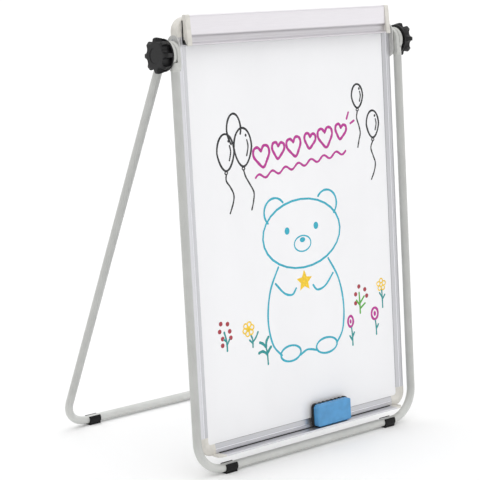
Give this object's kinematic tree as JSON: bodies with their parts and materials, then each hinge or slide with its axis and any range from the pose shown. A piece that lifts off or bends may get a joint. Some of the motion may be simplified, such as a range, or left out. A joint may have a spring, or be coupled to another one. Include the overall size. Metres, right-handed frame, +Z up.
{
  "type": "kids easel",
  "caption": "Free-standing folding children's easel: a framed white dry-wipe board pivots between two U-shaped tube stands, with side knobs, a pad clamp, a pen tray and an eraser.",
  "frame": {"origin": "on the floor, at the centre of the whole easel's footprint", "axes": "+X to the right as a child faces the front of the board, +Y towards the rear stand, +Z up"},
  "size_m": [0.701, 0.5142, 0.9427],
  "materials": {
    "tube_paint": "light grey powder coat, slight gloss",
    "hinge_paint": "die casting, painted light grey",
    "foot_rubber": "black rubber",
    "washer_nylon": "black nylon",
    "bright_steel": "zinc-plated",
    "panel_core": "honeycomb board core",
    "white_enamel": "glossy white dry-wipe enamel on steel sheet",
    "frame_alloy": "satin anodised extrusion",
    "cream_plastic": "cream moulded plastic",
    "plate_paint": "painted light grey",
    "black_seal": "black rubber strip",
    "clamp_alloy": "satin extrusion",
    "knob_plastic": "black moulded plastic",
    "insert_brass": "turned brass",
    "eraser_plastic": "blue moulded plastic",
    "eraser_felt": "black pressed felt"
  },
  "bodies": {
    "front_stand": {"front_stand_tube": "tube_paint", "front_hinge_left": "hinge_paint", "front_hinge_right": "hinge_paint", "friction_washer_left": "washer_nylon", "friction_washer_right": "washer_nylon", "foot_front_left": "foot_rubber", "foot_front_right": "foot_rubber"},
    "rear_stand": {"rear_stand_tube": "tube_paint", "rear_hinge_left": "hinge_paint", "rear_hinge_right": "hinge_paint", "knob_washer_left": "bright_steel", "knob_washer_right": "bright_steel", "foot_rear_left": "foot_rubber", "foot_rear_right": "foot_rubber"},
    "board": {"board_core": "panel_core", "writing_surface_front": "white_enamel", "writing_surface_rear": "white_enamel", "frame_left": "frame_alloy", "frame_right": "frame_alloy", "frame_top": "frame_alloy", "frame_bottom": "frame_alloy", "corner_cap_top_left": "cream_plastic", "corner_cap_top_right": "cream_plastic", "corner_cap_bottom_left": "cream_plastic", "corner_cap_bottom_right": "cream_plastic", "pivot_plate_left": "plate_paint", "pivot_plate_right": "plate_paint", "plate_screw_upper_left": "bright_steel", "plate_screw_lower_left": "bright_steel", "plate_screw_upper_right": "bright_steel", "plate_screw_lower_right": "bright_steel", "pivot_bolt_left": "bright_steel", "pivot_bolt_right": "bright_steel", "spacer_washer_left": "washer_nylon", "spacer_washer_right": "washer_nylon", "pen_tray": "frame_alloy", "tray_end_left": "cream_plastic", "tray_end_right": "cream_plastic", "tray_seal": "black_seal", "tray_screw_left": "bright_steel", "tray_screw_right": "bright_steel", "clamp_base": "clamp_alloy", "clamp_pin": "bright_steel"},
    "clamp": {"clamp_bar": "clamp_alloy", "clamp_end_left": "cream_plastic", "clamp_end_right": "cream_plastic", "clamp_pad_left": "black_seal", "clamp_pad_right": "black_seal", "clamp_jaw": "black_seal"},
    "knob_left": {"knob_left": "knob_plastic", "knob_insert_left": "insert_brass"},
    "knob_right": {"knob_right": "knob_plastic", "knob_insert_right": "insert_brass"},
    "eraser": {"eraser_shell": "eraser_plastic", "eraser_felt": "eraser_felt"}
  },
  "joints": [
    {"name": "rear_stand_fold", "type": "hinge", "parent": "front_stand", "child": "rear_stand", "pos_m": [0, -0.17956, 0.86439], "axis": [1, 0, 0], "range_deg": [-28.4, 5]},
    {"name": "board_flip", "type": "hinge", "parent": "front_stand", "child": "board", "pos_m": [0, -0.17956, 0.86439], "axis": [1, 0, 0], "continuous": true},
    {"name": "clamp_open", "type": "hinge", "parent": "board", "child": "clamp", "pos_m": [0, -0.19137, 0.9351], "axis": [-1, 0, 0], "range_deg": [0, 18], "stiffness_Nm_per_rad": 1.5, "springref_deg": -17.19},
    {"name": "knob_left_turn", "type": "hinge", "parent": "board", "child": "knob_left", "pos_m": [-0.3385, -0.17956, 0.86439], "axis": [1, 0, 0], "continuous": true},
    {"name": "knob_right_turn", "type": "hinge", "parent": "board", "child": "knob_right", "pos_m": [0.3385, -0.17956, 0.86439], "axis": [1, 0, 0], "continuous": true},
    {"name": "eraser_lift", "type": "slide", "parent": "board", "child": "eraser", "axis": [0, 0.0523, 0.9986], "range_m": [0, 0.06]}
  ]
}
